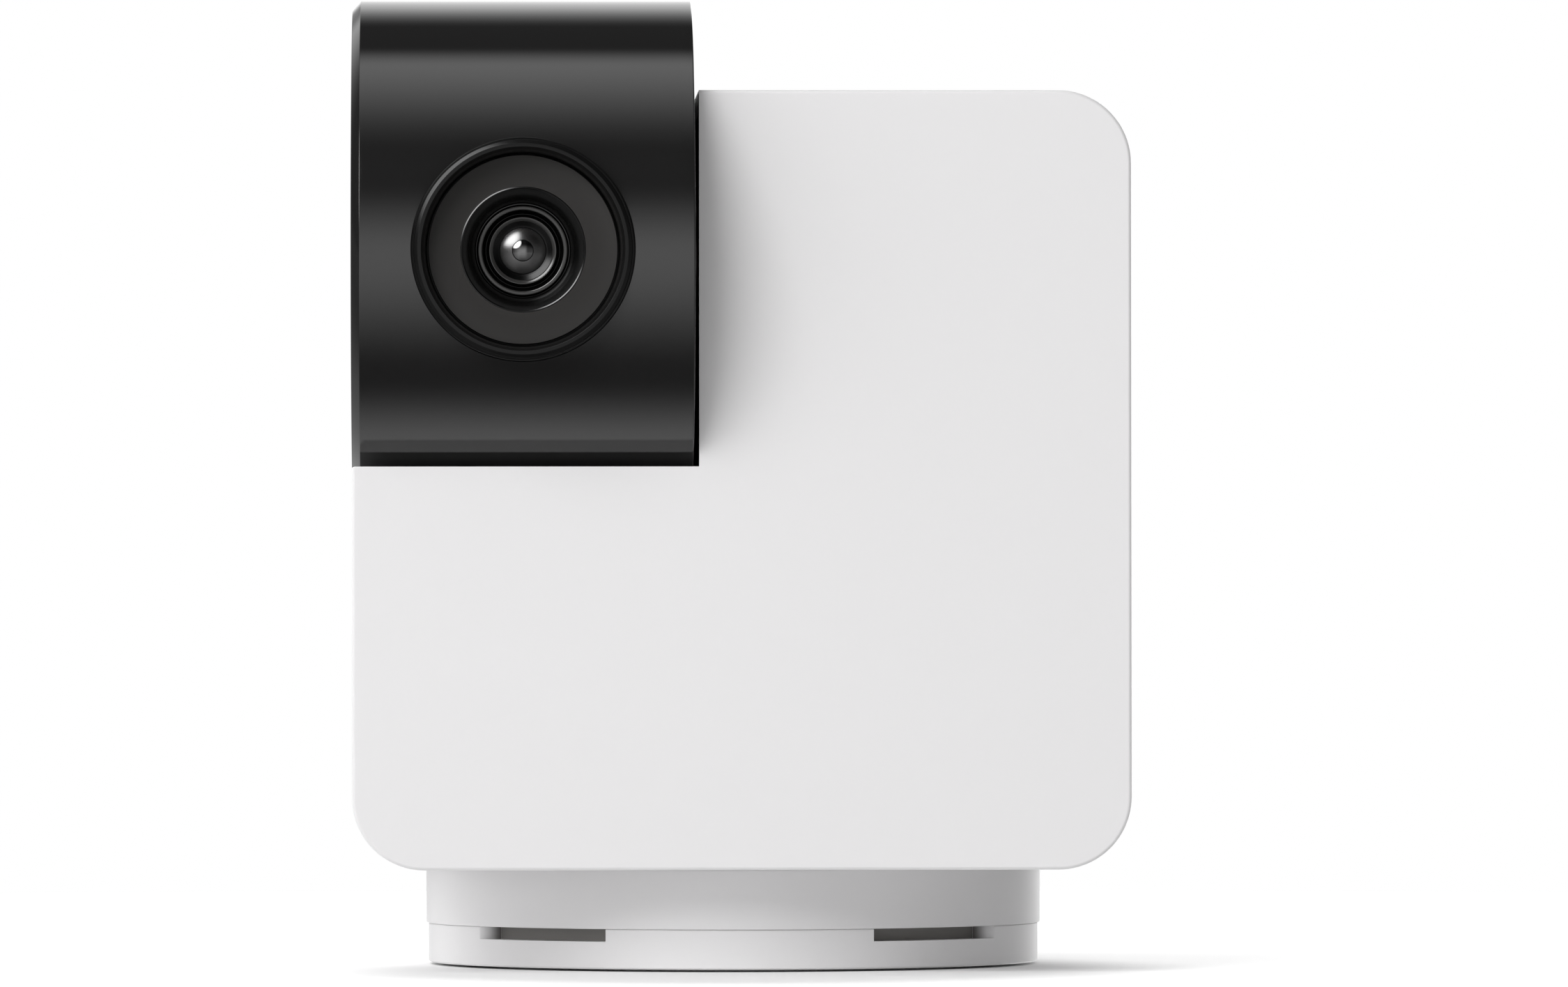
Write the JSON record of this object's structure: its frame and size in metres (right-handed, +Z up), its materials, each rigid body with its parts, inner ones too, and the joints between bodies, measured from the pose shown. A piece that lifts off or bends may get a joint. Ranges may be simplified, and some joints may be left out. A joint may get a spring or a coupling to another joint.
{
  "type": "pet camera",
  "caption": "Cube-shaped pet camera that pans on a low round base, with a black cylindrical camera head that tilts in its upper front corner.",
  "frame": {"origin": "on the pan axis, on the surface that the camera stands on", "axes": "+Z up along the pan axis, the front with the lens faces -Y, +X is the right of someone who looks at the front"},
  "size_m": [0.065, 0.0735, 0.0816],
  "materials": {
    "white_shell": "satin moulded",
    "black_gloss": "polished moulded",
    "black_satin": "fine grained",
    "dark_annulus": "matte",
    "lens_glass": "coated and polished",
    "foot_rubber": "soft matte",
    "brass_insert": "turned",
    "steel_screw": "zinc plated",
    "steel_sheet": "plated sheet",
    "aluminium_plate": "bead blasted",
    "board_green": "solder mask",
    "chip_black": "moulded epoxy",
    "connector_cream": "moulded",
    "wire_sleeve": "matte",
    "acetal_white": "natural acetal",
    "soft_black": "foam and silicone",
    "speaker_black": "moulded frame and paper cone",
    "antenna_film": "copper on film"
  },
  "bodies": {
    "base": {"base_housing": "white_shell", "base_cover": "white_shell", "foot_ring": "foot_rubber", "tripod_insert": "brass_insert", "base_screws": "steel_screw", "port_board": "board_green", "port_board_screws": "steel_screw", "power_socket_shell": "steel_sheet", "power_socket_tongue": "chip_black", "harness_plug": "connector_cream", "pan_harness": "wire_sleeve", "thrust_washer": "acetal_white", "pan_gear": "acetal_white", "pan_gear_screws": "steel_screw"},
    "camera_body": {"front_housing": "white_shell", "rear_cover": "white_shell", "rear_cover_screws": "steel_screw", "head_cradle": "black_satin", "pan_bush": "acetal_white", "pan_motor": "steel_sheet", "pan_motor_bracket": "steel_sheet", "bracket_screws": "steel_screw", "motor_screws": "steel_screw", "tilt_bush": "acetal_white", "tilt_motor": "steel_sheet", "tilt_motor_bracket": "steel_sheet", "main_board": "board_green", "board_screws": "steel_screw", "cable_connectors": "connector_cream", "processor": "chip_black", "heat_spreader": "aluminium_plate", "shield_can": "steel_sheet", "card_socket": "steel_sheet", "reset_switch": "chip_black", "microphone": "chip_black", "microphone_boot": "soft_black", "speaker": "speaker_black", "speaker_gasket": "soft_black", "antenna": "antenna_film", "main_harness": "wire_sleeve", "tilt_cable": "wire_sleeve"},
    "reset_key": {"reset_button": "white_shell"},
    "pan_drive": {"pan_pinion": "acetal_white"},
    "tilt_drive": {"tilt_pinion": "acetal_white"},
    "tilt_head": {"head_barrel": "black_gloss", "head_left_cap": "black_gloss", "head_right_cap": "black_gloss", "head_cap_screws": "steel_screw", "tilt_gear": "acetal_white", "tilt_clip": "steel_screw", "lens_ring": "black_gloss", "lens_bezel": "dark_annulus", "lens_barrel": "black_satin", "front_lens": "lens_glass", "rear_lens": "lens_glass", "lens_holder": "black_satin", "image_sensor": "chip_black", "sensor_board": "board_green", "sensor_screws": "steel_screw", "head_harness": "wire_sleeve"}
  },
  "joints": [
    {"name": "pan", "type": "hinge", "parent": "base", "child": "camera_body", "pos_m": [0, 0, 0.0085], "axis": [0, 0, 1], "range_deg": [-175, 175]},
    {"name": "tilt", "type": "hinge", "parent": "camera_body", "child": "tilt_head", "pos_m": [-0.004, -0.019, 0.06], "axis": [-1, 0, 0], "range_deg": [-28, 85]},
    {"name": "pan_pinion_turn", "type": "hinge", "parent": "camera_body", "child": "pan_drive", "pos_m": [0.01157, -0.01379, 0.0126], "axis": [0, 0, 1], "range_deg": [-880, 880]},
    {"name": "tilt_pinion_turn", "type": "hinge", "parent": "camera_body", "child": "tilt_drive", "pos_m": [0.002, -0.006, 0.06], "axis": [-1, 0, 0], "range_deg": [-290, 100]},
    {"name": "reset_press", "type": "slide", "parent": "camera_body", "child": "reset_key", "axis": [0, -1, 0], "range_m": [0, 0.0004], "stiffness_N_per_m": 500}
  ],
  "couplings": [
    {"joint": "pan_pinion_turn", "follows": "pan", "ratio": 5},
    {"joint": "tilt_pinion_turn", "follows": "tilt", "ratio": -3.3333}
  ]
}
